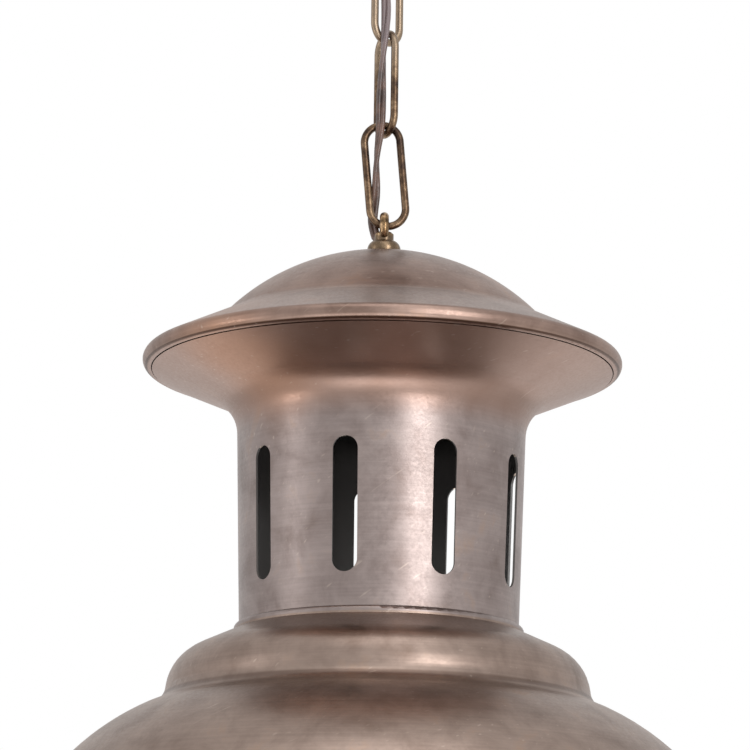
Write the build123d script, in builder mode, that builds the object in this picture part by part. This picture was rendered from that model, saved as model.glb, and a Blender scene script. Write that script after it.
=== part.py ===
from build123d import *
import math
import os

# Hanging lantern on a short chain: a ceiling canopy, four oval links with a twin flex
# woven through them, and a spun metal lantern with a domed cap, a slotted chimney and
# a wide bell shade round one lamp.
#
# Millimetres, +Z up. The origin is the middle of the mounting strap's face on the
# ceiling, and everything hangs below it.

os.makedirs("parts", exist_ok=True)

# ---------------------------------------------------------------- driving dimensions
sheet = 1.2                  # wall of the spun metal shells
chain_gap = 0.3              # play between one link and the next
slant_gap = 0.7              # more where the leaning link crosses its neighbour at a slant
ring_gap = 0.45              # and where its lower bow passes through the lantern's loop

wire = 4.2                   # chain wire diameter
link_length = 61.2
link_width = 23.6
link_turns = (-44.0, 46.0, -62.0, 0.0)   # each link's turn about Z, top link first
bottom_link_lean = 5.3       # the last link leans, its foot towards +X

canopy_radius = 60.0
canopy_depth = 45.0

loop_hole_radius = 3.5
loop_wire = 5.0              # thickness of the cast loop's ring
loop_ring_height = 16.15     # seat of the loop to the middle of its ring
bead_radius = 9.0
bead_height = 8.0
collar_radius = 5.2
tube_radius = 5.0            # M10 tube and shanks
tube_bore = 3.3

cap_dome_radius = 119.0
cap_dome_drop = 53.4         # centre of the dome's arc below the lip
cap_flat_radius = 12.0       # flat on the dome's top that the loop is seated on
brim_corner = (87.6, 27.15)  # where dome and brim meet, radius and height
lip_centre = (124.5, 4.8)
lip_radius = 4.6
brim_slope = 25.0

flare_radius = 124.0         # edge of the chimney's flared top
throat_radius = 77.4         # where the flare has turned into the chimney wall
throat_drop = 35.4
flare_bend = 23.0
flare_slope = 24.0
chimney_foot_radius = 74.4
chimney_foot_drop = 138.2    # the chimney stands on the shade's collar here
slot_count = 9
slot_width = 13.4
slot_top_drop = 49.6
slot_foot_drop = 120.7
slot_first_angle = -14.2     # turn of the first slot from the front, -Y

step_radius = 77.2           # small step below the collar
step_drop = 142.4
shoulder_corner_radius = 110.4
shoulder_corner_drop = 157.6
waist_radius = 113.4
waist_drop = 179.6
bell_start_angle = 64.3      # where the bell's arc begins, up from level
bell_radius = 130.0          # arc of the shade's bell, seen from the side
bell_centre = (69.5, 302.0)  # radius and drop of that arc's centre
rim_wire_radius = 1.4

flange_drop = 133.0          # the shade's inner flange, inside the chimney's foot
flange_inner = 60.0
spigot_radius = 72.8         # the shade's spigot stands inside the chimney's foot
spider_thickness = 2.5

lamp_cap_radius = 13.2       # E27 lamp cap
bulb_radius = 30.0

holder_radius = 22.6         # porcelain body of the E27 lampholder
socket_radius = 14.3
shell_wall = 0.6             # threaded shell in the socket, drawn as a plain tube
shell_length = 26.0
terminal_reach = 11.0        # terminals either side of the axis
terminal_height = 5.0
bulb_neck_radius = 12.4
bulb_contact_radius = 4.5
glass_wall = 0.8

rivet_count = 3
rivet_circle = 66.0
rivet_radius = 2.0
rivet_head_radius = 3.6
rivet_head_height = 1.6
spider_reach = 70.0
spider_arm_width = 16.0
spider_hub_radius = 15.0
rim_roll = 2.6               # outer radius of the shade's rolled rim

block_middle = 16.0          # terminal block under the mounting strap
block_length = 12.0
block_width = 18.0
block_height = 13.0
block_screw_spacing = 9.0

flex_diameter = 4.2          # round tube that holds the twisted flat twin flex
core_diameter = 1.8          # one insulated conductor
core_hole_radius = 1.1       # hole in a terminal that a conductor goes into

# ---------------------------------------------------------------- heights, from the ceiling down
pitch = link_length - 2 * wire - chain_gap
bow_radius = (link_width - wire) / 2
bow_offset = link_length / 2 - link_width / 2

top_ring_z = -canopy_depth - loop_ring_height
first_link_top = top_ring_z - loop_hole_radius + chain_gap + wire
link_z = [first_link_top - link_length / 2 - pitch * i for i in range(3)]
lean = math.radians(bottom_link_lean)
lean_shift = bow_offset * math.sin(lean)
lean_reach = bow_offset * math.cos(lean) + math.sqrt(bow_radius**2 - lean_shift**2)
third_bow_z = link_z[2] - link_length / 2 + wire / 2
link_z.append(third_bow_z + wire + slant_gap - lean_reach)
last_bow_z = link_z[3] - lean_reach
ring_z = last_bow_z + wire / 2 + ring_gap - loop_hole_radius
seat_z = ring_z - loop_ring_height
cap_height = math.sqrt(cap_dome_radius**2 - cap_flat_radius**2) - cap_dome_drop
lip_z = seat_z - cap_height

cap_floor_z = seat_z - sheet           # underside of the cap's flat
flange_z = lip_z - flange_drop
spider_top = flange_z - sheet
spider_foot = spider_top - spider_thickness
holder_top = lip_z - 146.0
stem_foot = lip_z - 156.0
holder_body_top = lip_z - 163.0
holder_body_foot = lip_z - 203.0
socket_top = lip_z - 174.0
terminal_z = holder_body_top + terminal_height / 2
bulb_cap_top = lip_z - 179.5
bulb_cap_foot = lip_z - 201.0
bulb_centre_z = lip_z - 250.0
rim_roll_centre = bell_centre[0] + bell_radius - rim_roll


def polar(radius, degrees):
    """Point on a circle, degrees counted from +X."""
    return radius * math.cos(math.radians(degrees)), radius * math.sin(math.radians(degrees))


def flat_direction(degrees):
    """Level direction, degrees counted from +X."""
    return polar(1, degrees) + (0,)


def save(piece, name):
    """Label a finished piece and write it as one STEP file."""
    piece.part.label = name
    export_step(piece.part, f"parts/{name}.step")


# ---------------------------------------------------------------- ceiling fitting
strap_half = 52.0
strap_width = 20.0
strap_thickness = 2.5
strap_drop = 14.0            # the strap's middle hangs below the ceiling
strap_hat_half = 29.0
strap_slot_spacing = 84.0
strap_slot_length = 12.0
strap_slot_width = 5.0
block_hole_z = -strap_drop - block_height / 2

with BuildPart() as mounting_strap:
    with BuildSketch(Plane.XZ):
        with BuildLine():
            Polyline(
                (-strap_half, -strap_thickness / 2),
                (-strap_hat_half - 2, -strap_thickness / 2),
                (-strap_hat_half + 2, -strap_drop + strap_thickness / 2),
                (strap_hat_half - 2, -strap_drop + strap_thickness / 2),
                (strap_hat_half + 2, -strap_thickness / 2),
                (strap_half, -strap_thickness / 2),
            )
            offset(amount=strap_thickness / 2, kind=Kind.INTERSECTION)
        make_face()
    extrude(amount=strap_width / 2, both=True)
    with BuildSketch(Plane.XY):
        with Locations((-strap_slot_spacing / 2, 0), (strap_slot_spacing / 2, 0)):
            SlotOverall(strap_slot_length, strap_slot_width)
    extrude(amount=-5, mode=Mode.SUBTRACT)
    with BuildSketch(Plane.XY.offset(-strap_drop - 1)):
        Circle(tube_radius)
    extrude(amount=5, mode=Mode.SUBTRACT)
save(mounting_strap, "mounting_strap")

with BuildPart() as ceiling_canopy:
    with BuildSketch(Plane.XZ):
        with BuildLine():
            FilletPolyline(
                (tube_radius + 0.2, -canopy_depth),
                (22, -canopy_depth),
                (50, -canopy_depth + 22),
                (canopy_radius - 3, -4),
                (canopy_radius, -4),
                (canopy_radius, 0),
                radius=(14, 18, 2, 0),
            )
            offset(amount=sheet, side=Side.LEFT)
        make_face()
    revolve(axis=Axis.Z)
save(ceiling_canopy, "ceiling_canopy")


def washer(top_z, outer, inner, thickness):
    """Flat ring hung from top_z."""
    with BuildPart() as ring:
        with BuildSketch(Plane.XY.offset(top_z)):
            Circle(outer)
            Circle(inner, mode=Mode.SUBTRACT)
        extrude(amount=-thickness)
    return ring


def hex_nut(top_z, across_flats, inner, height):
    """Hexagon nut or coupling hung from top_z."""
    with BuildPart() as nut:
        with BuildSketch(Plane.XY.offset(top_z)):
            RegularPolygon(across_flats / 2, 6, major_radius=False)
            Circle(inner, mode=Mode.SUBTRACT)
        extrude(amount=-height)
        chamfer(nut.edges().filter_by(Axis.Z, reverse=True).filter_by(GeomType.LINE), 0.5)
    return nut


washer_thickness = 1.5
washer_radius = 11.0
coupling_flats = 14.0
coupling_length = 24.0
shank_length = 14.0          # threaded shank below each loop's seat
nut_height = 4.0

canopy_washer_z = -canopy_depth + sheet + washer_thickness
canopy_washer = washer(canopy_washer_z, washer_radius, tube_radius, washer_thickness)
save(canopy_washer, "canopy_washer")
canopy_coupling_z = canopy_washer_z + coupling_length
canopy_coupling = hex_nut(canopy_coupling_z, coupling_flats, tube_radius, coupling_length)
save(canopy_coupling, "canopy_coupling")


def tube(top_z, foot_z):
    """Length of threaded M10 tube, drawn at its outer diameter."""
    with BuildPart() as pipe:
        with BuildSketch(Plane.XY.offset(foot_z)):
            Circle(tube_radius)
            Circle(tube_bore, mode=Mode.SUBTRACT)
        extrude(amount=top_z - foot_z)
    return pipe


nipple_top = -7.0
canopy_nipple = tube(nipple_top, -canopy_depth + shank_length + 1)
save(canopy_nipple, "canopy_nipple")

with BuildPart() as strap_locknuts:
    with BuildSketch(Plane.XY.offset(-strap_drop + strap_thickness)):
        RegularPolygon(coupling_flats / 2, 6, major_radius=False)
        Circle(tube_radius, mode=Mode.SUBTRACT)
    extrude(amount=3)
    with BuildSketch(Plane.XY.offset(-strap_drop)):
        RegularPolygon(coupling_flats / 2, 6, major_radius=False)
        Circle(tube_radius, mode=Mode.SUBTRACT)
    extrude(amount=-3)
save(strap_locknuts, "strap_locknuts")


# ---------------------------------------------------------------- cast loops
# Both loops are the same casting. It is drawn standing on a seat at z = 0 with its ring
# in the YZ plane, and the flex goes in at a slanted wireway on its -X side.
wireway_azimuth = 145.0
wireway_radius = 2.5
wireway_mouth = (5.4, 11.4)  # distance from the axis and height above the seat
wireway_inner = -4.0         # where the wireway has reached the axis
ring_radius = loop_hole_radius + loop_wire / 2


def cast_loop(seat):
    """Ring, collar, bead and shank, placed by the plane of the loop's seat."""
    mouth = polar(wireway_mouth[0], wireway_azimuth)
    with BuildPart() as loop:
        with BuildSketch(Plane.XZ):
            with BuildLine():
                bead_middle = bead_height / 2
                Line((0, -shank_length), (tube_radius, -shank_length))
                Line((tube_radius, -shank_length), (tube_radius, 0))
                Line((tube_radius, 0), (bead_radius - 1.5, 0))
                ThreePointArc((bead_radius - 1.5, 0), (bead_radius, bead_middle), (6.6, bead_height))
                Line((6.6, bead_height), (collar_radius, bead_height))
                Line((collar_radius, bead_height), (collar_radius, 12.2))
                Line((collar_radius, 12.2), (4.2, 13.2))
                Line((4.2, 13.2), (0, 13.2))
                Line((0, 13.2), (0, -shank_length))
            make_face()
        revolve(axis=Axis.Z)
        with BuildSketch(Plane.XY.offset(loop_ring_height)):
            with Locations((0, ring_radius)):
                Circle(loop_wire / 2)
        revolve(axis=Axis((0, 0, loop_ring_height), (1, 0, 0)))
        with BuildSketch(Plane.YZ.offset(-collar_radius - 1)):
            with Locations((0, loop_ring_height)):
                Circle(loop_hole_radius)
        extrude(amount=2 * collar_radius + 2, mode=Mode.SUBTRACT)
        slant = Vector(mouth[0], mouth[1], wireway_mouth[1] - wireway_inner)
        with BuildSketch(Plane(origin=(0, 0, wireway_inner), z_dir=slant)):
            Circle(wireway_radius)
        extrude(amount=slant.length * 1.6, mode=Mode.SUBTRACT)
        with BuildSketch(Plane.XY.offset(-shank_length)):
            Circle(tube_bore)
        extrude(amount=shank_length - 2, mode=Mode.SUBTRACT)
    loop.part = seat.location * loop.part
    return loop


canopy_loop = cast_loop(Plane((0, 0, -canopy_depth), flat_direction(link_turns[0]), (0, 0, -1)))
save(canopy_loop, "canopy_loop")

# ---------------------------------------------------------------- chain


def oval_link(plane):
    """Oval link of round wire, standing in the plane's XZ."""
    with BuildPart() as link:
        with BuildLine(Plane.XZ) as run:
            Line((bow_radius, -bow_offset), (bow_radius, bow_offset))
            CenterArc((0, bow_offset), bow_radius, 0, 180)
            Line((-bow_radius, bow_offset), (-bow_radius, -bow_offset))
            CenterArc((0, -bow_offset), bow_radius, 180, 180)
        with BuildSketch(Plane.XY):
            with Locations((bow_radius, 0)):
                Circle(wire / 2)
        sweep(path=run.wires()[0])
    link.part = plane.location * link.part
    return link


for i in range(3):
    upright = Plane((0, 0, link_z[i]), flat_direction(link_turns[i]), (0, 0, 1))
    save(oval_link(upright), f"chain_link_{i + 1}")
leaning_across = (math.cos(lean), 0, math.sin(lean))
leaning_up = (-math.sin(lean), 0, math.cos(lean))
save(oval_link(Plane((0, 0, link_z[3]), leaning_across, leaning_up)), "chain_link_4")

# ---------------------------------------------------------------- lantern: hanging gear
hanging_loop = cast_loop(Plane((0, 0, seat_z), (1, 0, 0), (0, 0, 1)))
save(hanging_loop, "hanging_loop")
cap_washer = washer(cap_floor_z, washer_radius, tube_radius, washer_thickness)
save(cap_washer, "cap_washer")
stem_coupling_z = cap_floor_z - washer_thickness
stem_coupling = hex_nut(stem_coupling_z, coupling_flats, tube_radius, coupling_length)
save(stem_coupling, "stem_coupling")
stem = tube(seat_z - shank_length - 1, stem_foot)
save(stem, "stem")
stem_washer = washer(spider_foot, washer_radius, tube_radius, washer_thickness)
save(stem_washer, "stem_washer")
stem_nut = hex_nut(spider_foot - washer_thickness, coupling_flats, tube_radius, nut_height)
save(stem_nut, "stem_nut")

# ---------------------------------------------------------------- lantern: cap
with BuildPart() as cap:
    with BuildSketch(Plane.XZ):
        with BuildLine() as cap_outline:
            dome_middle = 60.0
            lip_start = (
                lip_centre[0] + lip_radius * math.sin(math.radians(brim_slope)),
                lip_centre[1] + lip_radius * math.cos(math.radians(brim_slope)),
            )
            Line((tube_radius + 0.2, seat_z), (cap_flat_radius, seat_z))
            ThreePointArc(
                (cap_flat_radius, seat_z),
                (dome_middle, lip_z + math.sqrt(cap_dome_radius**2 - dome_middle**2) - cap_dome_drop),
                (brim_corner[0], lip_z + brim_corner[1]),
            )
            Line((brim_corner[0], lip_z + brim_corner[1]), (lip_start[0], lip_z + lip_start[1]))
            brim_meeting = (brim_corner[0], lip_z + brim_corner[1])
            fillet(cap_outline.vertices().sort_by_distance(brim_meeting)[0], 12)
            CenterArc(
                (lip_centre[0], lip_z + lip_centre[1]),
                lip_radius,
                90 - brim_slope,
                -(180 - brim_slope),
            )
            offset(amount=sheet, side=Side.RIGHT)
        make_face()
    revolve(axis=Axis.Z)
save(cap, "cap")

# ---------------------------------------------------------------- lantern: chimney
with BuildPart() as chimney:
    with BuildSketch(Plane.XZ):
        with BuildLine():
            bend_centre = (throat_radius + flare_bend, lip_z - throat_drop)
            flare_turn = math.radians(flare_slope)
            bend_start = (
                bend_centre[0] - flare_bend * math.sin(flare_turn),
                bend_centre[1] + flare_bend * math.cos(flare_turn),
            )
            bend_middle = (
                bend_centre[0] - flare_bend * math.cos((math.pi / 2 - flare_turn) / 2),
                bend_centre[1] + flare_bend * math.sin((math.pi / 2 - flare_turn) / 2),
            )
            Line((flare_radius, lip_z - 0.2), bend_start)
            ThreePointArc(bend_start, bend_middle, (throat_radius, lip_z - throat_drop))
            Line(
                (throat_radius, lip_z - throat_drop),
                (chimney_foot_radius, lip_z - chimney_foot_drop),
            )
            offset(amount=sheet, side=Side.RIGHT)
        make_face()
    revolve(axis=Axis.Z)
    slot_length = slot_foot_drop - slot_top_drop
    slot_middle_z = lip_z - (slot_foot_drop + slot_top_drop) / 2
    for k in range(slot_count):
        out = flat_direction(slot_first_angle + 360 / slot_count * k - 90)
        with BuildSketch(Plane((0, 0, slot_middle_z), (0, 0, 1), out).offset(throat_radius - 20)):
            SlotOverall(slot_length, slot_width)
        extrude(amount=40, mode=Mode.SUBTRACT)
save(chimney, "chimney")

# ---------------------------------------------------------------- lantern: shade
with BuildPart() as shade:
    with BuildSketch(Plane.XZ):
        with BuildLine():
            step_foot = (step_radius, lip_z - step_drop)
            shoulder_corner = (shoulder_corner_radius, lip_z - shoulder_corner_drop)
            waist = (waist_radius, lip_z - waist_drop)
            bell_start = (
                bell_centre[0] + bell_radius * math.cos(math.radians(bell_start_angle)),
                lip_z - bell_centre[1] + bell_radius * math.sin(math.radians(bell_start_angle)),
            )
            collar_start = (chimney_foot_radius + 0.2, lip_z - chimney_foot_drop - 0.2)
            FilletPolyline(
                (flange_inner, flange_z),
                (spigot_radius, flange_z),
                (spigot_radius, collar_start[1]),
                (step_radius - 0.2, collar_start[1]),
                step_foot,
                shoulder_corner,
                waist,
                bell_start,
                radius=(2.0, 0, 2.2, 0.3, 26.0, 11.0),
            )
            CenterArc(
                (bell_centre[0], lip_z - bell_centre[1]),
                bell_radius,
                bell_start_angle,
                -bell_start_angle,
            )
            CenterArc((rim_roll_centre, lip_z - bell_centre[1]), rim_roll, 0, -235)
            offset(amount=sheet, side=Side.RIGHT)
        make_face()
    revolve(axis=Axis.Z)
    with BuildSketch(Plane.XY.offset(flange_z)):
        with PolarLocations(rivet_circle, rivet_count):
            Circle(rivet_radius + 0.1)
    extrude(amount=-sheet, mode=Mode.SUBTRACT)
save(shade, "shade")

with BuildPart() as shade_rim_wire:
    with BuildSketch(Plane.XZ):
        with Locations((rim_roll_centre, lip_z - bell_centre[1])):
            Circle(rim_wire_radius)
    revolve(axis=Axis.Z)
save(shade_rim_wire, "shade_rim_wire")

with BuildPart() as spider:
    with BuildSketch(Plane.XY.offset(spider_top)):
        Circle(spider_hub_radius)
        with PolarLocations(spider_reach / 2, rivet_count):
            Rectangle(spider_reach, spider_arm_width)
        with PolarLocations(rivet_circle, rivet_count):
            Circle(rivet_radius + 0.1, mode=Mode.SUBTRACT)
        Circle(tube_radius, mode=Mode.SUBTRACT)
    extrude(amount=-spider_thickness)
save(spider, "spider")

with BuildPart() as spider_rivets:
    with BuildSketch(Plane.XY.offset(spider_foot)):
        with PolarLocations(rivet_circle, rivet_count):
            Circle(rivet_radius)
    extrude(amount=spider_thickness + sheet)
    with BuildSketch(Plane.XY.offset(flange_z)):
        with PolarLocations(rivet_circle, rivet_count):
            Circle(rivet_head_radius)
    extrude(amount=rivet_head_height)
    with BuildSketch(Plane.XY.offset(spider_foot)):
        with PolarLocations(rivet_circle, rivet_count):
            Circle(rivet_head_radius)
    extrude(amount=-rivet_head_height)
    rivet_rims = spider_rivets.edges().filter_by(GeomType.CIRCLE).group_by(Axis.Z)
    fillet(rivet_rims[0] + rivet_rims[-1], 0.8)
save(spider_rivets, "spider_rivets")

# ---------------------------------------------------------------- lampholder
with BuildPart() as lampholder_cover:
    with BuildSketch(Plane.XZ):
        with BuildLine():
            FilletPolyline(
                (tube_radius, holder_top),
                (9.5, holder_top),
                (9.5, holder_top - 5),
                (holder_radius + 1.9, holder_top - 15),
                (holder_radius + 1.9, holder_body_foot + 6),
                radius=(1.5, 2.5, 8),
            )
            offset(amount=sheet, side=Side.RIGHT)
        make_face()
    revolve(axis=Axis.Z)
    with BuildSketch(Plane.XY.offset(holder_top - sheet)):
        Circle(tube_radius + 2)
        Circle(tube_radius, mode=Mode.SUBTRACT)
    extrude(amount=-8)
save(lampholder_cover, "lampholder_cover")

with BuildPart() as lampholder_body:
    with BuildSketch(Plane.XZ):
        with BuildLine():
            FilletPolyline(
                (0, holder_body_top),
                (holder_radius, holder_body_top),
                (holder_radius, holder_body_foot + 5),
                (holder_radius - 3, holder_body_foot),
                (socket_radius, holder_body_foot),
                (socket_radius, socket_top),
                (0, socket_top),
                radius=(2, 1.5, 1.5, 1, 1),
            )
            Line((0, socket_top), (0, holder_body_top))
        make_face()
    revolve(axis=Axis.Z)
save(lampholder_body, "lampholder_body")

with BuildPart() as lampholder_shell:
    with BuildSketch(Plane.XY.offset(holder_body_foot + 1)):
        Circle(socket_radius - 0.1)
        Circle(socket_radius - 0.1 - shell_wall, mode=Mode.SUBTRACT)
    extrude(amount=shell_length)
save(lampholder_shell, "lampholder_shell")

with BuildPart() as lampholder_contact:
    with BuildSketch(Plane.XZ):
        with BuildLine():
            Polyline(
                (-9, socket_top - 0.5),
                (-5, socket_top - 0.5),
                (0, socket_top - 1.7),
                (5, socket_top - 0.5),
                (9, socket_top - 0.5),
            )
            offset(amount=0.4, kind=Kind.INTERSECTION)
        make_face()
    extrude(amount=2.5, both=True)
save(lampholder_contact, "lampholder_contact")

with BuildPart() as lampholder_terminals:
    with BuildSketch(Plane.XY.offset(holder_body_top)):
        with Locations((-terminal_reach, 0), (terminal_reach, 0)):
            Rectangle(5, 6)
    extrude(amount=terminal_height)
    with BuildSketch(Plane.YZ.offset(-terminal_reach - 5)):
        with Locations((0, terminal_z)):
            Circle(core_hole_radius)
    extrude(amount=2 * terminal_reach + 10, mode=Mode.SUBTRACT)
save(lampholder_terminals, "lampholder_terminals")

with BuildPart() as lampholder_screws:
    with BuildSketch(Plane.XY.offset(holder_body_top + terminal_height)):
        with Locations((-terminal_reach, 0), (terminal_reach, 0)):
            Circle(2)
    extrude(amount=1.4)
    fillet(lampholder_screws.edges().filter_by(GeomType.CIRCLE).group_by(Axis.Z)[-1], 0.5)
save(lampholder_screws, "lampholder_screws")

# ---------------------------------------------------------------- lamp
with BuildPart() as bulb_glass:
    with BuildSketch(Plane.XZ):
        with BuildLine():
            neck_bend = 20.0
            bend_out = bulb_neck_radius + neck_bend
            bend_up = math.sqrt((bulb_radius + neck_bend) ** 2 - bend_out**2)
            bend_angle = math.degrees(math.atan2(bend_up, bend_out))
            Line((bulb_neck_radius, bulb_cap_foot + 13), (bulb_neck_radius, bulb_centre_z + bend_up))
            CenterArc((bend_out, bulb_centre_z + bend_up), neck_bend, 180, bend_angle)
            CenterArc((0, bulb_centre_z), bulb_radius, bend_angle, -90 - bend_angle)
            offset(amount=glass_wall, side=Side.RIGHT)
        make_face()
    revolve(axis=Axis.Z)
save(bulb_glass, "bulb_glass")

with BuildPart() as bulb_cap:
    with BuildSketch(Plane.XZ):
        with BuildLine():
            FilletPolyline(
                (bulb_contact_radius + 3, bulb_cap_top),
                (lamp_cap_radius - 1.5, bulb_cap_top),
                (lamp_cap_radius, bulb_cap_top - 3),
                (lamp_cap_radius, bulb_cap_foot),
                radius=(0.6, 2),
            )
            offset(amount=0.4, side=Side.RIGHT)
        make_face()
    revolve(axis=Axis.Z)
save(bulb_cap, "bulb_cap")

with BuildPart() as bulb_insulator:
    with BuildSketch(Plane.XZ):
        with BuildLine():
            Polyline(
                (0, bulb_cap_top + 2.2),
                (bulb_contact_radius, bulb_cap_top + 2.2),
                (bulb_contact_radius + 4.5, bulb_cap_top),
                (bulb_contact_radius + 3, bulb_cap_top),
                (bulb_contact_radius + 3, bulb_cap_top - 2),
                (0, bulb_cap_top - 2),
                close=True,
            )
        make_face()
    revolve(axis=Axis.Z)
save(bulb_insulator, "bulb_insulator")

with BuildPart() as bulb_contact:
    with BuildSketch(Plane.XY.offset(bulb_cap_top + 2.2)):
        Circle(bulb_contact_radius)
    extrude(amount=1.0)
    fillet(bulb_contact.edges().filter_by(GeomType.CIRCLE).group_by(Axis.Z)[-1], 0.6)
save(bulb_contact, "bulb_contact")

mount_foot = bulb_cap_foot - 22.0
with BuildPart() as bulb_mount:
    with BuildSketch(Plane.XZ):
        with BuildLine():
            FilletPolyline(
                (0, bulb_cap_foot + 10),
                (bulb_neck_radius - 0.9, bulb_cap_foot + 10),
                (4, bulb_cap_foot - 2),
                (2.5, mount_foot),
                (0, mount_foot),
                radius=(0, 5, 1),
            )
            Line((0, mount_foot), (0, bulb_cap_foot + 10))
        make_face()
    revolve(axis=Axis.Z)
save(bulb_mount, "bulb_mount")


def round_tube(points, radii, diameter):
    """Tube of straight runs joined by tangent arcs."""
    with BuildPart() as cord:
        with BuildLine() as path:
            if radii:
                FilletPolyline(*points, radius=radii)
            else:
                Line(points[0], points[-1])
        with BuildSketch(Plane(origin=path.wires()[0] @ 0, z_dir=path.wires()[0] % 0)):
            Circle(diameter / 2)
        sweep(path=path.wires()[0])
    return cord


filament_z = bulb_cap_foot - 40.0
filament_half = 12.0
lead_radius = 0.4
filament_radius = 0.5
with BuildPart() as bulb_leads:
    for side in (-1, 1):
        with BuildLine() as lead_path:
            Line((side * 1.4, 0, mount_foot - lead_radius), (side * filament_half, 0, filament_z))
        with BuildSketch(Plane(origin=lead_path.line @ 0, z_dir=lead_path.line % 0)):
            Circle(lead_radius)
        sweep(path=lead_path.line)
save(bulb_leads, "bulb_leads")

with BuildPart() as bulb_filament:
    filament_end = filament_half - 2 * lead_radius
    with BuildSketch(Plane.YZ.offset(-filament_end)):
        with Locations((0, filament_z)):
            Circle(filament_radius)
    extrude(amount=2 * filament_end)
save(bulb_filament, "bulb_filament")

# ---------------------------------------------------------------- flex through the chain
# The route from the canopy loop's wireway down to the lantern's. It weaves through the
# links and keeps clear of their wire.
canopy_mouth = (-5.33, 0.84, -56.4)
lantern_mouth = (-4.42, 3.10, -281.58)
route = [
    canopy_mouth,
    (-8.0, 1.26, -64.1),
    (-8.4, 0.4, -73.0),
    (-6.0, -1.6, -82.0),
    (-5.0, -1.5, -100.0),
    (-7.3, 0.1, -117.5),
    (-1.8, -0.8, -134.5),
    (-0.4, -3.4, -152.0),
    (-0.9, -8.4, -169.4),
    (-2.2, -5.6, -187.0),
    (-2.6, -4.5, -205.0),
    (-2.7, -4.9, -222.2),
    (-4.9, -2.2, -239.0),
    (-4.6, 1.5, -256.0),
    (-6.0, 5.2, -265.6),
    (-6.63, 4.65, -273.88),
    lantern_mouth,
]
span_breaks = (3, 6, 9, 12)  # a span ends halfway along the run after each of these
arc_share = 0.45


def corner_radius(before, corner, after):
    """Radius of the arc at a corner, from the shorter of the two runs that meet there."""
    into = Vector(corner) - Vector(before)
    out = Vector(after) - Vector(corner)
    turn = math.radians(into.get_angle(out))
    return arc_share * min(into.length, out.length) / math.tan(turn / 2)


route_radii = [corner_radius(*route[i - 1 : i + 2]) for i in range(1, len(route) - 1)]
print("flex radii", [round(radius, 1) for radius in route_radii])


def halfway(i):
    """Middle of the run that leaves route point i."""
    middle = (Vector(route[i]) + Vector(route[i + 1])) / 2
    return (middle.X, middle.Y, middle.Z)


span_starts = [0] + [i + 1 for i in span_breaks]
span_ends = [i + 1 for i in span_breaks] + [len(route) - 1]
for number, (first, last) in enumerate(zip(span_starts, span_ends), start=1):
    corners = route[first:last] if first else route[1:last]
    start = halfway(first - 1) if first else route[0]
    end = halfway(last - 1) if last < len(route) - 1 else route[-1]
    radii = route_radii[(first or 1) - 1 : last - 1]
    span = round_tube([start] + corners + [end], radii, flex_diameter)
    section = math.pi * flex_diameter**2 / 4
    print("flex span", number, "length by volume", round(span.part.volume / section, 1))
    save(span, f"flex_span_{number}")

# ---------------------------------------------------------------- flex inside the fittings
in_bend = 20.0
canopy_axis_point = (0, 0, -canopy_depth - wireway_inner)
flex_in_canopy = round_tube(
    [canopy_mouth, canopy_axis_point, (0, 0, nipple_top - 2)], [in_bend], flex_diameter
)
save(flex_in_canopy, "flex_in_canopy")
flex_foot = stem_foot - 1.0
flex_in_stem = round_tube(
    [lantern_mouth, (0, 0, seat_z + wireway_inner), (0, 0, flex_foot)], [in_bend], flex_diameter
)
save(flex_in_stem, "flex_in_stem")

core_half = 0.95             # the two cores lie side by side
for side, name in ((-1, "conductor_live_top"), (1, "conductor_neutral_top")):
    core_run = [
        (-side * core_half, 0, nipple_top - 2),
        (-side * core_half, 0, -4.4),
        (5.5, side * 7.0, -3.2),
        (13.0, side * 12.4, -5.5),
        (block_middle, side * 13.4, -13.0),
        (block_middle, side * 13.0, block_hole_z),
        (block_middle, side * (block_width / 2 - 3), block_hole_z),
    ]
    save(round_tube(core_run, [2.0, 4.0, 5.0, 5.0, 2.5], core_diameter), name)

block_screw_places = [(block_middle, side * block_screw_spacing / 2) for side in (-1, 1)]
with BuildPart() as terminal_block:
    with BuildSketch(Plane.XY.offset(-strap_drop)):
        with Locations((block_middle, 0)):
            Rectangle(block_length, block_width)
    extrude(amount=-block_height)
    fillet(terminal_block.edges().filter_by(Axis.Z), 1)
    with BuildSketch(Plane.XZ.offset(-block_width)):
        with Locations((block_middle, block_hole_z)):
            Circle(core_hole_radius)
    extrude(amount=2 * block_width, mode=Mode.SUBTRACT)
    with BuildSketch(Plane.XY.offset(-strap_drop - block_height)):
        with Locations(*block_screw_places):
            Circle(2)
    extrude(amount=4, mode=Mode.SUBTRACT)
save(terminal_block, "terminal_block")

with BuildPart() as terminal_block_screws:
    with BuildSketch(Plane.XY.offset(-strap_drop - block_height + 1)):
        with Locations(*block_screw_places):
            Circle(1.8)
    extrude(amount=2.5)
save(terminal_block_screws, "terminal_block_screws")

for side, name in ((-1, "conductor_live"), (1, "conductor_neutral")):
    core_run = [
        (side * core_half, 0, flex_foot),
        (side * core_half, 0, flex_foot - 1.6),
        (side * 4.5, 0, terminal_z),
        (side * (terminal_reach - 1), 0, terminal_z),
    ]
    save(round_tube(core_run, [1.2, 1.6], core_diameter), name)
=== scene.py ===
import math

import bpy
from mathutils import Matrix, Vector


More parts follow.
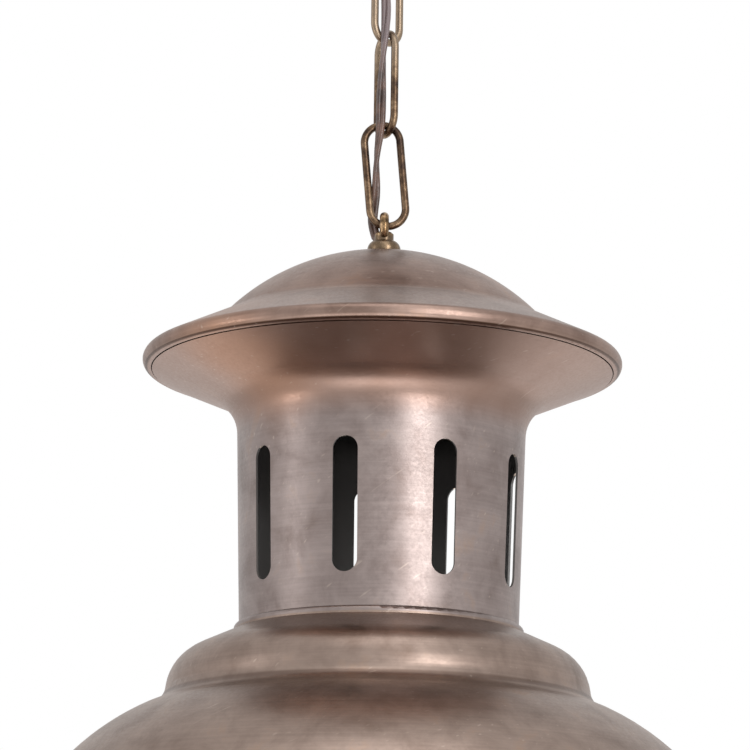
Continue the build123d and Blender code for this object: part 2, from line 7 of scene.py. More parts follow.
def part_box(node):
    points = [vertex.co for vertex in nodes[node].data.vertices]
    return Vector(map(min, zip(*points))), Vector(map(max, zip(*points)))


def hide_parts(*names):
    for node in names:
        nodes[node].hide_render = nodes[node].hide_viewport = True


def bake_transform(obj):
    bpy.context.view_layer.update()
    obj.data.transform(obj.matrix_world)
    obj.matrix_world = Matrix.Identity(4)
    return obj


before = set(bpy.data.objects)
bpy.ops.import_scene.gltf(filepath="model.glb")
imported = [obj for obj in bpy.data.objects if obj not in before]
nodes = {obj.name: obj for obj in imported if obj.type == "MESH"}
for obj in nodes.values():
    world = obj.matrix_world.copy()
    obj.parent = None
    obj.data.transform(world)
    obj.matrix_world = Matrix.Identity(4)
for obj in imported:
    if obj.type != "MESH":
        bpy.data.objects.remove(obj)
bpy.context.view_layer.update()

# Hanging lantern: spun shells with a pewter-brown patina on an oval-link chain, with a twisted twin
# flex woven through the links. The lantern hangs on the Z axis and its front is -Y.

mm = 0.001
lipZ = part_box("chimney")[1].z + 0.2 * mm  # the seam between the cap's lip and the chimney's flare


def hexLinear(code):
    # sRGB hex to the linear colour that the shaders work in
    parts = [int(code[i:i + 2], 16) / 255 for i in (0, 2, 4)]
    linear = [p / 12.92 if p <= 0.04045 else ((p + 0.055) / 1.055) ** 2.4 for p in parts]
    return (*linear, 1.0)


cameraLook = {
    "lens": 191.7,
    "sensor": 36,
    "right": -3.9 * mm,
    "back": -2100 * mm,
    "belowLip": 471 * mm,
    "pitch": 12.59,  # degrees up from level
    "roll": 0.806,
}
cameraData = bpy.data.cameras.new("camera")
cameraData.lens = cameraLook["lens"]
cameraData.sensor_width = cameraLook["sensor"]
camera = bpy.data.objects.new("camera", cameraData)
bpy.context.scene.collection.objects.link(camera)
cameraPlace = Vector((cameraLook["right"], cameraLook["back"], lipZ - cameraLook["belowLip"]))
camera.matrix_world = (
    Matrix.Translation(cameraPlace)
    @ Matrix.Rotation(math.radians(90 + cameraLook["pitch"]), 4, "X")
    @ Matrix.Rotation(math.radians(cameraLook["roll"]), 4, "Z")
)
bpy.context.scene.camera = camera
bpy.context.scene.view_settings.view_transform = "Standard"
print("camera placed")


def addNode(tree, kind, settings=None, inputs=None, out=0, stops=None):
    # a node with its settings, links and colour stops; gives back the output that is wanted
    node = tree.nodes.new(kind)
    for key, value in (settings or {}).items():
        setattr(node, key, value)
    for key, value in (inputs or {}).items():
        if isinstance(value, bpy.types.NodeSocket):
            tree.links.new(value, node.inputs[key])
        else:
            node.inputs[key].default_value = value
    for number, (place, code) in enumerate(stops or []):
        elements = node.color_ramp.elements
        element = elements[number] if number < 2 else elements.new(place)
        element.position = place
        element.color = hexLinear(code)
    return node.outputs[out]


def newMaterial(name, sockets):
    # sockets are the settings that are the same all over the surface
    material = bpy.data.materials.new(name)
    material.use_nodes = True
    tree = material.node_tree
    shader = tree.nodes["Principled BSDF"]
    for key, value in sockets.items():
        shader.inputs[key].default_value = value
    return material, tree, shader


def wear(*names, material):
    # each of these parts gets one material all over
    for name in names:
        mesh = nodes[name].data
        mesh.materials.clear()
        mesh.materials.append(material)


# the twisted twin flex, woven through the chain
flexLook = {
    "coreRadius": 1.45 * mm,
    "coreOffset": 1.25 * mm,
    "width": 5.4 * mm,
    "coreSides": 12,
    "twistPitch": 118 * mm,
    "twistStart": 62,  # degrees
    "samples": 20,  # rings between one route point and the next
    "sheath": "6a4e42",
    "sheathDark": "382b27",
    # painted light: the greyer colour, and the heights over which it comes in towards the ceiling
    "sheathPaintedLight": "6f6264",
    "paintedLightFrom": -205 * mm,
    "paintedLightTo": -165 * mm,
    "paintedLightShare": 0.85,
    "cloudSize": 9 * mm,
    "grainSize": 1.1 * mm,
    "grainDepth": 0.1 * mm,
}
# the middle of the flex in millimetres, from the ceiling loop down to the lantern's loop
flexRoute = [
    (-5.33, 0.84, -56.4), (-8.0, 1.26, -64.1), (-8.4, 0.4, -73.0), (-6.0, -1.6, -82.0),
    (-5.0, -1.5, -100.0), (-7.3, 0.1, -117.5), (-1.8, -0.8, -134.5), (-0.4, -3.4, -152.0),
    (-0.9, -8.4, -169.4), (-2.2, -5.6, -187.0), (-2.6, -4.5, -205.0), (-2.7, -4.9, -222.2),
    (-4.9, -2.2, -239.0), (-4.6, 1.5, -256.0), (-6.0, 5.2, -265.6), (-6.63, 4.65, -273.88),
    (-4.42, 3.10, -281.58),
]
# each span crosses one joint of the chain: its two bodies, the route point it ends after, and its length
flexSpans = [
    ("ceiling", "link_1", 3, 35.5 * mm),
    ("link_1", "link_2", 6, 53.2 * mm),
    ("link_2", "link_3", 9, 52.9 * mm),
    ("link_3", "link_4", 12, 52.1 * mm),
    ("link_4", "lantern", None, 35.4 * mm),
]


def flexCentreline():
    curve = bpy.data.curves.new("flexLine", "CURVE")
    curve.dimensions = "3D"
    curve.resolution_u = flexLook["samples"]
    spline = curve.splines.new("NURBS")
    spline.points.add(len(flexRoute) - 1)
    for point, place in zip(spline.points, flexRoute):
        point.co = (place[0] * mm, place[1] * mm, place[2] * mm, 1)
    spline.order_u = 3
    spline.use_endpoint_u = True
    holder = bpy.data.objects.new("flexLine", curve)
    bpy.context.scene.collection.objects.link(holder)
    bpy.context.view_layer.update()
    mesh = bpy.data.meshes.new_from_object(holder)
    points = [vertex.co.copy() for vertex in mesh.vertices]
    bpy.data.objects.remove(holder)
    return points


def twinSection():
    # outline of two cores side by side, with the waist between them
    radius, offset = flexLook["coreRadius"], flexLook["coreOffset"]
    reach = math.acos(-offset / radius)
    sides = flexLook["coreSides"]
    outline = []
    for side in (1, -1):
        for k in range(sides + 1):
            angle = -reach + 2 * reach * k / sides
            outline.append((side * (offset + radius * math.cos(angle)), side * radius * math.sin(angle)))
    return outline


def flexRings(points):
    # one ring of the section at each point, turned steadily along the flex
    section = twinSection()
    side = Vector((1, 0, 0))
    run, rings = 0.0, []
    for i, point in enumerate(points):
        along = (points[min(i + 1, len(points) - 1)] - points[max(i - 1, 0)]).normalized()
        side = (side - along * side.dot(along)).normalized()
        if i:
            run += (point - points[i - 1]).length
        turn = math.radians(flexLook["twistStart"]) + 2 * math.pi * run / flexLook["twistPitch"]
        across = Matrix.Rotation(turn, 3, along) @ side
        through = along.cross(across)
        rings.append([point + across * u + through * v for u, v in section])
    return rings


def skinRings(name, rings):
    # a closed skin over the rings
    count = len(rings[0])
    vertices = [place for ring in rings for place in ring]
    faces = []
    for i in range(len(rings) - 1):
        for k in range(count):
            a, b = i * count + k, i * count + (k + 1) % count
            faces.append((a, b, b + count, a + count))
    faces.append(tuple(reversed(range(count))))
    faces.append(tuple(range(len(vertices) - count, len(vertices))))
    mesh = bpy.data.meshes.new(name)
    mesh.from_pydata(vertices, [], faces)
    mesh.polygons.foreach_set("use_smooth", [True] * len(mesh.polygons))
    for edge in mesh.edges:  # the rim of a cut end stays crisp, so spans that meet look like one length
        ring = edge.vertices[0] // count
        edge.use_edge_sharp = ring == edge.vertices[1] // count and ring in (0, len(rings) - 1)
    piece = bpy.data.objects.new(name, mesh)
    bpy.context.scene.collection.objects.link(piece)
    return piece


def flexMaterial():
    # soft PVC, extruded: a smoky brown sheath whose waxy gloss draws thin bright lines along the
    # cores, with painted light making it greyer and paler towards the ceiling, for the glow of the white
    # backdrop
    material, tree, shader = newMaterial(
        "softPvcTwinFlex", {"Roughness": 0.3, "IOR": 1.5, "Coat Weight": 0.3, "Coat Roughness": 0.12})
    place = addNode(tree, "ShaderNodeTexCoord", out="Object")
    height = addNode(tree, "ShaderNodeSeparateXYZ", inputs={0: place}, out=2)
    cloud = addNode(tree, "ShaderNodeTexNoise", inputs={
        "Vector": place, "Scale": 1 / flexLook["cloudSize"], "Detail": 3})
    brown = addNode(tree, "ShaderNodeValToRGB", inputs={0: cloud}, stops=[
        (0.34, flexLook["sheathDark"]), (0.62, flexLook["sheath"])])
    # painted light: greyer and paler towards the ceiling, for the glow of the white backdrop
    byHeight = addNode(tree, "ShaderNodeMapRange", {"interpolation_type": "SMOOTHSTEP"}, {
        0: height, 1: flexLook["paintedLightFrom"], 2: flexLook["paintedLightTo"], 3: 0.0, 4: flexLook["paintedLightShare"]})
    colour = addNode(tree, "ShaderNodeMix", {"data_type": "RGBA"}, {
        0: byHeight, 6: brown, 7: hexLinear(flexLook["sheathPaintedLight"])}, out=2)
    tree.links.new(colour, shader.inputs["Base Color"])
    fine = addNode(tree, "ShaderNodeTexNoise", inputs={
        "Vector": place, "Scale": 1 / flexLook["grainSize"], "Detail": 2})
    bump = addNode(tree, "ShaderNodeBump", inputs={
        "Strength": 0.15, "Distance": flexLook["grainDepth"], "Height": fine})
    tree.links.new(bump, shader.inputs["Normal"])
    return material


def makeFlex():
    # one span for each joint of the chain, cut where the route passes between two of its points
    points = flexCentreline()
    rings = flexRings(points)
    material = flexMaterial()
    first = 0
    for number, (upper, lower, after, length) in enumerate(flexSpans, start=1):
        if after is None:
            last = len(points) - 1
        else:
            middle = (Vector(flexRoute[after]) + Vector(flexRoute[after + 1])) / 2 * mm
            last = min(range(len(points)), key=lambda i: (points[i] - middle).length)
        span = skinRings(f"flexSpan{number}", rings[first:last + 1])
        span.data.materials.append(material)
        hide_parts(f"flex_span_{number}")
        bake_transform(span)
        first = last
    wear("flex_in_canopy", "flex_in_stem", material=material)
    print("flex made")


makeFlex()


# patinated shells: the spun cap, chimney, shade and ceiling canopy
spunLook = {
    # the patina from the hollows of its clouds to their tops, and where each colour stands
    "patina": [(0.30, "7f716c"), (0.45, "8d807c"), (0.60, "998c88"), (0.76, "a08c81")],
    "lineShade": (0.93, 1.06),
    "bandShade": (0.96, 1.04),
    "capTone": "fdebde",  # warmer wax on the cap, and a little on the shade
    "shadeTone": "fff6ea",
    "under": "977a6c",  # painted reflection: a browner colour under the flare, where it mirrors the shoulder
    "underShare": 0.75,
    "paintedWarmReflection": "ad8064",  # painted reflection: a warm coppery patch on the flare
    "paintedWarmReflectionShare": 0.6,
    "paintedWarmReflectionPlace": (-74 * mm, -78 * mm, -15 * mm),  # from the middle of the lip
    "paintedWarmReflectionReach": 52 * mm,
    "seamAndFoldShade": "4a3429",  # a dark joint along the lip, and painted shade in the fold at the waist
    "scratchAndEdgeHighlight": "cbbbae",  # bare metal in the scratches, and a painted highlight on the cut edges of the slots
    "inside": "4e4b4a",
    # painted light: the inside is paler low down, towards the foot of the slots
    "insidePaintedLight": "625e5b",
    "rough": (0.29, 0.41),
    "anisotropic": 0.35,
    "relief": 0.25,
    "reliefDepth": 0.12 * mm,
    # how far down each place is from the lip
    "underDrop": 42 * mm,
    "slotTop": 46 * mm,
    "slotFoot": 124 * mm,
    "shadeDrop": 142.4 * mm,
    "waistDrop": 179.6 * mm,
    # sizes of the patterns; the spinning tool's rings are drawn coarser than they are so they show
    "lineSpacing": 1.3 * mm,
    "ringDrift": 2 * mm,
    "bandSpacing": 9 * mm,
    "cloudSize": 24 * mm,
    "grainSize": 1.6 * mm,
    "scratchWidth": 0.9 * mm,
    "scratchLength": 60 * mm,
    "scratchSlant": (0.3, 0.9, 0.4),
    "scratchShare": 0.3,
}
# seamsAndShadedFold: drop from the lip, half width, how dark, and the radius that they lie outside; the
# first is the dark joint under the lip, the second painted shade in the fold at the waist
seamsAndShadedFold = [
    (0, 0.7 * mm, 0.9, 115 * mm),
    (spunLook["waistDrop"], 2.2 * mm, 0.5, 105 * mm),
]


def roundAxis(tree):
    # the place, its radius, height and turn about the lantern's axis, and how far the face looks outward
    place = addNode(tree, "ShaderNodeTexCoord", out="Object")
    normal = place.node.outputs["Normal"]
    x, y, height = addNode(tree, "ShaderNodeSeparateXYZ", inputs={0: place}).node.outputs
    flat = addNode(tree, "ShaderNodeCombineXYZ", inputs={0: x, 1: y})
    radius = addNode(tree, "ShaderNodeVectorMath", {"operation": "LENGTH"}, {0: flat}, out="Value")
    turn = addNode(tree, "ShaderNodeMath", {"operation": "ARCTAN2"}, {0: y, 1: x})
    spoke = addNode(tree, "ShaderNodeVectorMath", {"operation": "NORMALIZE"}, {0: flat})
    outward = addNode(tree, "ShaderNodeVectorMath", {"operation": "DOT_PRODUCT"}, {
        0: spoke, 1: normal}, out="Value")
    return place, radius, height, turn, outward


def patinaAndPaintedLight(tree, place, radius, height, lines, bands):
    # clouds of pewter and brown, fine rings from the spinning tool, warmer tones, painted reflection under
    # the flare, a dark joint at the lip and painted shade at the waist
    clouds = addNode(tree, "ShaderNodeTexNoise", inputs={
        "Vector": place, "Scale": 1 / spunLook["cloudSize"],
        "Detail": 5, "Roughness": 0.6, "Distortion": 0.4})
    colour = addNode(tree, "ShaderNodeValToRGB", inputs={0: clouds}, stops=spunLook["patina"])
    for pattern, (low, high) in ((lines, spunLook["lineShade"]), (bands, spunLook["bandShade"])):
        shade = addNode(tree, "ShaderNodeMapRange", inputs={0: pattern, 1: 0.3, 2: 0.7, 3: low, 4: high})
        grey = addNode(tree, "ShaderNodeCombineColor", inputs={0: shade, 1: shade, 2: shade})
        colour = addNode(tree, "ShaderNodeMix", {"data_type": "RGBA", "blend_type": "MULTIPLY"}, {
            0: 1.0, 6: colour, 7: grey}, out=2)
    for operation, level, tone in (
            ("GREATER_THAN", lipZ, spunLook["capTone"]),
            ("LESS_THAN", lipZ - spunLook["shadeDrop"], spunLook["shadeTone"])):
        here = addNode(tree, "ShaderNodeMath", {"operation": operation}, {0: height, 1: level})
        colour = addNode(tree, "ShaderNodeMix", {"data_type": "RGBA", "blend_type": "MULTIPLY"}, {
            0: here, 6: colour, 7: hexLinear(tone)}, out=2)
    # painted reflection: browner under the flare, from the lip down to where the chimney turns straight
    flareZ = lipZ - spunLook["underDrop"]
    onFlare = addNode(tree, "ShaderNodeMapRange", {"interpolation_type": "SMOOTHSTEP"}, {
        0: height, 1: flareZ, 2: lipZ - 0.6 * spunLook["underDrop"], 3: 0.0, 4: spunLook["underShare"]})
    belowLip = addNode(tree, "ShaderNodeMath", {"operation": "LESS_THAN"}, {0: height, 1: lipZ})
    under = addNode(tree, "ShaderNodeMath", {"operation": "MULTIPLY"}, {0: onFlare, 1: belowLip})
    colour = addNode(tree, "ShaderNodeMix", {"data_type": "RGBA"}, {
        0: under, 6: colour, 7: hexLinear(spunLook["under"])}, out=2)
    # painted reflection: a warm coppery patch round one place on the front left of the flare
    across, back, up = spunLook["paintedWarmReflectionPlace"]
    away = addNode(tree, "ShaderNodeVectorMath", {"operation": "DISTANCE"}, {
        0: place, 1: (across, back, lipZ + up)}, out="Value")
    reach = spunLook["paintedWarmReflectionReach"]
    paintedWarmReflection = addNode(tree, "ShaderNodeMapRange", {"interpolation_type": "SMOOTHSTEP"}, {
        0: away, 1: 0.2 * reach, 2: reach, 3: spunLook["paintedWarmReflectionShare"], 4: 0.0})
    colour = addNode(tree, "ShaderNodeMix", {"data_type": "RGBA"}, {
        0: paintedWarmReflection, 6: colour, 7: hexLinear(spunLook["paintedWarmReflection"])}, out=2)
    # a dark joint under the lip, and painted shade in the fold at the waist
    for drop, half, strength, inner in seamsAndShadedFold:
        off = addNode(tree, "ShaderNodeMath", {"operation": "SUBTRACT"}, {0: height, 1: lipZ - drop})
        off = addNode(tree, "ShaderNodeMath", {"operation": "ABSOLUTE"}, {0: off})
        near = addNode(tree, "ShaderNodeMapRange", {"interpolation_type": "SMOOTHSTEP"}, {
            0: off, 1: 0.3 * half, 2: half, 3: strength, 4: 0.0})
        far = addNode(tree, "ShaderNodeMath", {"operation": "GREATER_THAN"}, {0: radius, 1: inner})
        seamAndFoldShade = addNode(tree, "ShaderNodeMath", {"operation": "MULTIPLY"}, {0: near, 1: far})
        colour = addNode(tree, "ShaderNodeMix", {"data_type": "RGBA"}, {
            0: seamAndFoldShade, 6: colour, 7: hexLinear(spunLook["seamAndFoldShade"])}, out=2)
    return colour


def spunMaterial():
    # brass sheet spun on a lathe, patinated pewter-brown and waxed: the eye gets fine rings round
    # the axis, a cloudy mottle, a few light scratches and long soft highlights; inside it is a dull
    # dark grey, more like paint than metal
    material, tree, shader = newMaterial("patinatedSpunBrass", {"Anisotropic": spunLook["anisotropic"]})
    place, radius, height, turn, outward = roundAxis(tree)
    drift = addNode(tree, "ShaderNodeMath", {"operation": "MULTIPLY"}, {0: turn, 1: spunLook["ringDrift"]})
    ringPlace = addNode(tree, "ShaderNodeCombineXYZ", inputs={0: radius, 1: height, 2: drift})
    lines = addNode(tree, "ShaderNodeTexNoise", inputs={
        "Vector": ringPlace, "Scale": 1 / spunLook["lineSpacing"], "Detail": 3, "Roughness": 0.65})
    bands = addNode(tree, "ShaderNodeTexNoise", inputs={
        "Vector": ringPlace, "Scale": 1 / spunLook["bandSpacing"], "Detail": 2})
    grain = addNode(tree, "ShaderNodeTexNoise", inputs={
        "Vector": place, "Scale": 1 / spunLook["grainSize"], "Detail": 3, "Roughness": 0.6})
    outside = patinaAndPaintedLight(tree, place, radius, height, lines, bands)
    # scratches: noise drawn out long and thin on the slant, with only its crests showing
    width, length = spunLook["scratchWidth"], spunLook["scratchLength"]
    slant = addNode(tree, "ShaderNodeMapping", {"vector_type": "TEXTURE"}, {
        "Vector": place, "Rotation": spunLook["scratchSlant"], "Scale": (width, width, length)})
    streaks = addNode(tree, "ShaderNodeTexNoise", inputs={"Vector": slant, "Scale": 0.5, "Detail": 0})
    scratch = addNode(tree, "ShaderNodeMapRange", inputs={
        0: streaks, 1: 0.76, 2: 0.88, 3: 0.0, 4: spunLook["scratchShare"]})
    outside = addNode(tree, "ShaderNodeMix", {"data_type": "RGBA"}, {
        0: scratch, 6: outside, 7: hexLinear(spunLook["scratchAndEdgeHighlight"])}, out=2)
    # the cut edges of the slots face neither outward nor inward; they get a painted highlight
    slotTop, slotFoot = lipZ - spunLook["slotTop"], lipZ - spunLook["slotFoot"]
    sideways = addNode(tree, "ShaderNodeMath", {"operation": "ABSOLUTE"}, {0: outward})
    level = addNode(tree, "ShaderNodeMath", {"operation": "COMPARE"}, {
        0: height, 1: (slotTop + slotFoot) / 2, 2: (slotTop - slotFoot) / 2})
    edge = addNode(tree, "ShaderNodeMath", {"operation": "LESS_THAN"}, {0: sideways, 1: 0.5})
    edge = addNode(tree, "ShaderNodeMath", {"operation": "MULTIPLY"}, {0: edge, 1: level})
    outside = addNode(tree, "ShaderNodeMix", {"data_type": "RGBA"}, {
        0: edge, 6: outside, 7: hexLinear(spunLook["scratchAndEdgeHighlight"])}, out=2)
    # inside: painted light, a little paler towards the foot of the slots
    depth = addNode(tree, "ShaderNodeMapRange", inputs={
        0: height, 1: slotFoot, 2: slotTop, 3: 1.0, 4: 0.0})
    dark = addNode(tree, "ShaderNodeMix", {"data_type": "RGBA"}, {
        0: depth, 6: hexLinear(spunLook["inside"]), 7: hexLinear(spunLook["insidePaintedLight"])}, out=2)
    isOutside = addNode(tree, "ShaderNodeMath", {"operation": "GREATER_THAN"}, {0: outward, 1: -0.02})
    colour = addNode(tree, "ShaderNodeMix", {"data_type": "RGBA"}, {
        0: isOutside, 6: dark, 7: outside}, out=2)
    tree.links.new(colour, shader.inputs["Base Color"])
    tree.links.new(isOutside, shader.inputs["Metallic"])
    rough = addNode(tree, "ShaderNodeMapRange", inputs={
        0: grain, 1: 0.3, 2: 0.7, 3: spunLook["rough"][0], 4: spunLook["rough"][1]})
    tree.links.new(rough, shader.inputs["Roughness"])
    relief = addNode(tree, "ShaderNodeMix", {"data_type": "FLOAT"}, {0: 0.3, 2: lines, 3: grain})
    bump = addNode(tree, "ShaderNodeBump", inputs={
        "Strength": spunLook["relief"], "Distance": spunLook["reliefDepth"], "Height": relief})
    tree.links.new(bump, shader.inputs["Normal"])
    tangent = addNode(tree, "ShaderNodeTangent", {"direction_type": "RADIAL", "axis": "Z"})
    tree.links.new(tangent, shader.inputs["Tangent"])
    return material


wear("cap", "chimney", "shade", "ceiling_canopy", material=spunMaterial())
print("spun shells finished")


def metalMaterial(name, look):
    # look: colours from hollow to worn, roughness range, blotch size and grain in metres, and
    # perhaps a tint by height: the two heights between which another colour comes in, how much of it, and
    # that colour
    material, tree, shader = newMaterial(name, {"Metallic": 1.0})
    place = addNode(tree, "ShaderNodeTexCoord", out="Object")
    blotch = addNode(tree, "ShaderNodeTexNoise", inputs={
        "Vector": place, "Scale": 1 / look["blotch"], "Detail": 4, "Roughness": 0.6, "Distortion": 0.3})
    grain = addNode(tree, "ShaderNodeTexNoise", inputs={
        "Vector": place, "Scale": 1 / look["grain"], "Detail": 3, "Roughness": 0.6})
    colour = addNode(tree, "ShaderNodeValToRGB", inputs={0: blotch}, stops=[
        (0.34, look["deep"]), (0.52, look["body"]), (0.68, look["worn"])])
    if "heightTint" in look:
        begins, ends, amount, byHeight = look["heightTint"]
        height = addNode(tree, "ShaderNodeSeparateXYZ", inputs={0: place}, out=2)
        share = addNode(tree, "ShaderNodeMapRange", {"interpolation_type": "SMOOTHSTEP"}, {
            0: height, 1: begins, 2: ends, 3: 0.0, 4: amount})
        colour = addNode(tree, "ShaderNodeMix", {"data_type": "RGBA"}, {
            0: share, 6: colour, 7: hexLinear(byHeight)}, out=2)
    tree.links.new(colour, shader.inputs["Base Color"])
    rough = addNode(tree, "ShaderNodeMapRange", inputs={
        0: grain, 1: 0.3, 2: 0.7, 3: look["rough"][0], 4: look["rough"][1]})
    tree.links.new(rough, shader.inputs["Roughness"])
    bump = addNode(tree, "ShaderNodeBump", inputs={
        "Strength": look["relief"], "Distance": 0.1 * mm, "Height": grain})
    tree.links.new(bump, shader.inputs["Normal"])
    return material


# steel wire bent and welded, then bronzed: brown with dark blotches and patches rubbed tan, and
# paler towards the ceiling, painted light for the glow of the white backdrop
chainLook = {
    "deep": "41342d", "body": "64503f", "worn": "8f7860",
    "rough": (0.28, 0.42), "blotch": 7 * mm, "grain": 0.9 * mm, "relief": 0.3,
    # painted light: the glow of the white backdrop, paler towards the ceiling
    "heightTint": (-198 * mm, -172 * mm, 0.7, "a18f7b"),
}
wear("chain_link_1", "chain_link_2", "chain_link_3", "chain_link_4",
     material=metalMaterial("bronzedSteelWire", chainLook))
# brass cast in sand and tumbled: small golden glints on a lumpy skin, duller on the lantern's collar
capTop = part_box("cap")[1].z
loopLook = {
    "deep": "4a3c2d", "body": "866c4e", "worn": "d2b08a",
    "rough": (0.2, 0.36), "blotch": 4 * mm, "grain": 0.8 * mm, "relief": 0.45,
    "heightTint": (capTop + 14 * mm, capTop + 9 * mm, 0.8, "6f5f4f"),
}
wear("canopy_loop", "hanging_loop", material=metalMaterial("sandCastBrass", loopLook))
# zinc-plated steel, bright dipped: an even, nearly neutral grey with a faint spangle
zincLook = {
    "deep": "8d8f8f", "body": "a9abab", "worn": "c9cbc9",
    "rough": (0.3, 0.42), "blotch": 5 * mm, "grain": 0.7 * mm, "relief": 0.2,
}
wear("mounting_strap", "canopy_washer", "canopy_coupling", "canopy_nipple", "strap_locknuts",
     "cap_washer", "stem_coupling", "stem", "stem_washer", "stem_nut", "spider",
     "lampholder_screws", "terminal_block_screws",
     material=metalMaterial("zincPlatedSteel", zincLook))
# aluminium rivets, cold headed: paler and softer than the zinc round them
rivetLook = dict(zincLook, deep="a9a9a7", body="bdbdbb", worn="d3d3d0", rough=(0.34, 0.46))
wear("spider_rivets", material=metalMaterial("coldHeadedAluminium", rivetLook))
# drawn iron wire, oiled: dark grey with a dull gleam inside the rolled rim
ironLook = dict(zincLook, deep="4a4644", body="5f5a57", worn="77716d")
wear("shade_rim_wire", material=metalMaterial("drawnIronWire", ironLook))
# brass sheet, pressed and left bright: clear yellow with clean reflections
pressedBrassLook = {
    "deep": "b08f4c", "body": "cda95e", "worn": "e0c37d",
    "rough": (0.2, 0.3), "blotch": 5 * mm, "grain": 0.6 * mm, "relief": 0.1,
}
wear("lampholder_shell", "lampholder_contact", "lampholder_terminals", "bulb_contact",
     material=metalMaterial("pressedBrass", pressedBrassLook))
# brass turned and bronzed, so the holder goes with the shells: brown with a satin gleam
holderLook = dict(pressedBrassLook, deep="5f5045", body="86705c", worn="a08a70", rough=(0.3, 0.42))
wear("lampholder_cover", material=metalMaterial("bronzedTurnedBrass", holderLook))
# aluminium, rolled: pale silver with a soft sheen; its thread is drawn plain
lampCapLook = dict(pressedBrassLook, deep="b4b4b2", body="c8c8c6", worn="dcdcda")
wear("bulb_cap", material=metalMaterial("rolledAluminium", lampCapLook))
# tungsten and nickel wire, drawn: thin grey lines that catch the light
filamentLook = dict(pressedBrassLook, deep="6f6f72", body="88888b", worn="a0a0a2", grain=0.3 * mm)
wear("bulb_leads", "bulb_filament", material=metalMaterial("drawnTungsten", filamentLook))
print("metals finished")


def plainMaterial(name, look, sockets):
    # a body colour that varies softly, with a fine grain in the gloss
    material, tree, shader = newMaterial(name, sockets)
    place = addNode(tree, "ShaderNodeTexCoord", out="Object")
    cloud = addNode(tree, "ShaderNodeTexNoise", inputs={
        "Vector": place, "Scale": 1 / look["cloud"], "Detail": 3})
    colour = addNode(tree, "ShaderNodeValToRGB", inputs={0: cloud}, stops=[
        (0.3, look["deep"]), (0.7, look["body"])])
    tree.links.new(colour, shader.inputs["Base Color"])
    grain = addNode(tree, "ShaderNodeTexNoise", inputs={
        "Vector": place, "Scale": 1 / look["grain"], "Detail": 2})
    rough = addNode(tree, "ShaderNodeMapRange", inputs={
        0: grain, 1: 0.3, 2: 0.7, 3: look["rough"][0], 4: look["rough"][1]})
    tree.links.new(rough, shader.inputs["Roughness"])
    bump = addNode(tree, "ShaderNodeBump", inputs={
        "Strength": 0.1, "Distance": 0.05 * mm, "Height": grain})
    tree.links.new(bump, shader.inputs["Normal"])
    return material


# porcelain, glazed and fired: warm white under a wet-looking gloss
porcelainLook = {
    "deep": "e2ded2", "body": "efece3", "cloud": 12 * mm, "grain": 1.2 * mm, "rough": (0.12, 0.2)}
wear("lampholder_body", material=plainMaterial("glazedPorcelain", porcelainLook, {"IOR": 1.52}))
# nylon, moulded: an off-white with a matt, slightly waxy skin
nylonLook = {"deep": "d6d3c8", "body": "e4e1d8", "cloud": 6 * mm, "grain": 0.5 * mm, "rough": (0.4, 0.52)}
wear("terminal_block", material=plainMaterial("mouldedNylon", nylonLook, {"IOR": 1.53}))
# vitrite, cast glass that closes the lamp's cap: black and shiny
vitriteLook = {
    "deep": "101010", "body": "1c1b1a", "cloud": 4 * mm, "grain": 0.4 * mm, "rough": (0.15, 0.25)}
wear("bulb_insulator", material=plainMaterial("castVitrite", vitriteLook, {"IOR": 1.6}))
# PVC, extruded over each core: plain brown and plain blue with a soft gloss
brownLook = {"deep": "4d2a1a", "body": "5f3522", "cloud": 3 * mm, "grain": 0.4 * mm, "rough": (0.3, 0.4)}
wear("conductor_live_top", "conductor_live",
     material=plainMaterial("extrudedBrownPvc", brownLook, {"IOR": 1.5}))
blueLook = {"deep": "1d3c78", "body": "27509a", "cloud": 3 * mm, "grain": 0.4 * mm, "rough": (0.3, 0.4)}
wear("conductor_neutral_top", "conductor_neutral",
     material=plainMaterial("extrudedBluePvc", blueLook, {"IOR": 1.5}))
# glass, blown and frosted: milky, so that the lamp looks like a pale ball
frostLook = {"deep": "f1f1ee", "body": "fbfbf9", "cloud": 20 * mm, "grain": 0.3 * mm, "rough": (0.3, 0.4)}
wear("bulb_glass", material=plainMaterial(
    "frostedBlownGlass", frostLook, {"IOR": 1.5, "Transmission Weight": 0.6}))
# glass, pressed while hot: clear, with a hard gloss
clearLook = dict(frostLook, rough=(0.03, 0.06))
wear("bulb_mount", material=plainMaterial(
    "pressedClearGlass", clearLook, {"IOR": 1.5, "Transmission Weight": 0.9}))
print("plastics, porcelain and glass finished")

# a pale floor, a white room and soft boxes
stageLook = {"floorDrop": 1.5, "floorSize": 14, "floor": "f2f1ef", "world": 0.85, "aimDrop": 0.1}
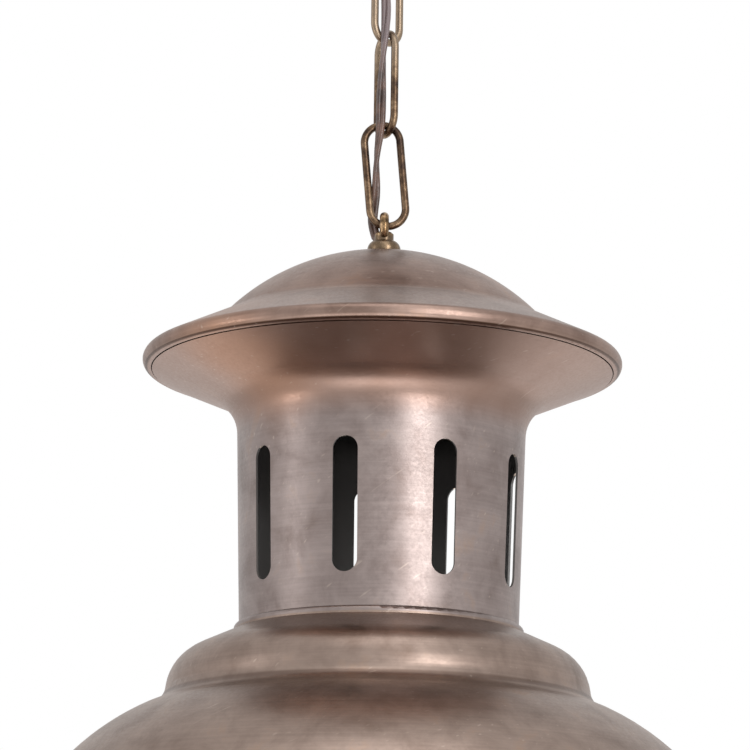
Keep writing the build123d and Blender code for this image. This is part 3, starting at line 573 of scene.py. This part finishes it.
# a solver found the watts for all the lights together and they were then rounded, so a change to
# one light calls for a look at the others
lights = [
    # name, azimuth from the front (right is positive), height above the lip, distance, size, watts
    ("leftBox", -72, 0.45, 2.2, (0.42, 1.5), 3.2),
    ("leftLow", -72, -0.75, 2.2, (0.42, 0.8), 4.2),
    ("rightBox", 30, 0.45, 2.4, (0.9, 1.8), 15),
    ("rightLow", 30, -0.75, 2.4, (0.9, 0.8), 10),
    ("rightStrip", 30, 0.3, 2.4, (0.4, 1.8), 7.2),
    ("topBox", 10, 2.0, 0.9, (1.6, 1.2), 7.5),
    ("frontTop", 20, 2.0, 2.4, (1.2, 1.2), 5.3),
    ("floorBack", 180, -1.2, 1.6, (3.0, 1.2), 5.9),
    ("floorUnder", 0, -1.4, 0.8, (1.6, 1.0), 7.0),
]


def makeStage():
    size = stageLook["floorSize"] / 2
    mesh = bpy.data.meshes.new("floor")
    corners = [(-size, -size, 0), (size, -size, 0), (size, size, 0), (-size, size, 0)]
    mesh.from_pydata(corners, [], [(0, 1, 2, 3)])
    floor = bpy.data.objects.new("floor", mesh)
    floor.location = (0, 0, lipZ - stageLook["floorDrop"])
    bpy.context.scene.collection.objects.link(floor)
    # matt painted board: plain and pale, with no gloss to distract
    board = newMaterial(
        "mattPaintedBoard", {"Base Color": hexLinear(stageLook["floor"]), "Roughness": 0.9})[0]
    mesh.materials.append(board)
    world = bpy.data.worlds.new("studio")
    bpy.context.scene.world = world
    world.use_nodes = True
    tree = world.node_tree
    shader = tree.nodes["Background"]
    shader.inputs["Color"].default_value = hexLinear("ffffff")
    # the camera sees plain white behind the lantern, and everything else gets a softer fill
    seen = addNode(tree, "ShaderNodeLightPath", out="Is Camera Ray")
    strength = addNode(tree, "ShaderNodeMix", {"data_type": "FLOAT"}, {
        0: seen, 2: stageLook["world"], 3: 1.0})
    tree.links.new(strength, shader.inputs["Strength"])


def makeLights():
    target = Vector((0, 0, lipZ - stageLook["aimDrop"]))
    for name, azimuth, height, distance, size, watts in lights:
        data = bpy.data.lights.new(name, "AREA")
        data.shape = "RECTANGLE"
        data.size, data.size_y = size
        data.energy = watts
        light = bpy.data.objects.new(name, data)
        turn = math.radians(azimuth)
        light.location = (distance * math.sin(turn), -distance * math.cos(turn), lipZ + height)
        light.rotation_euler = (target - light.location).to_track_quat("-Z", "Y").to_euler()
        bpy.context.scene.collection.objects.link(light)


makeStage()
makeLights()
print("stage lit")
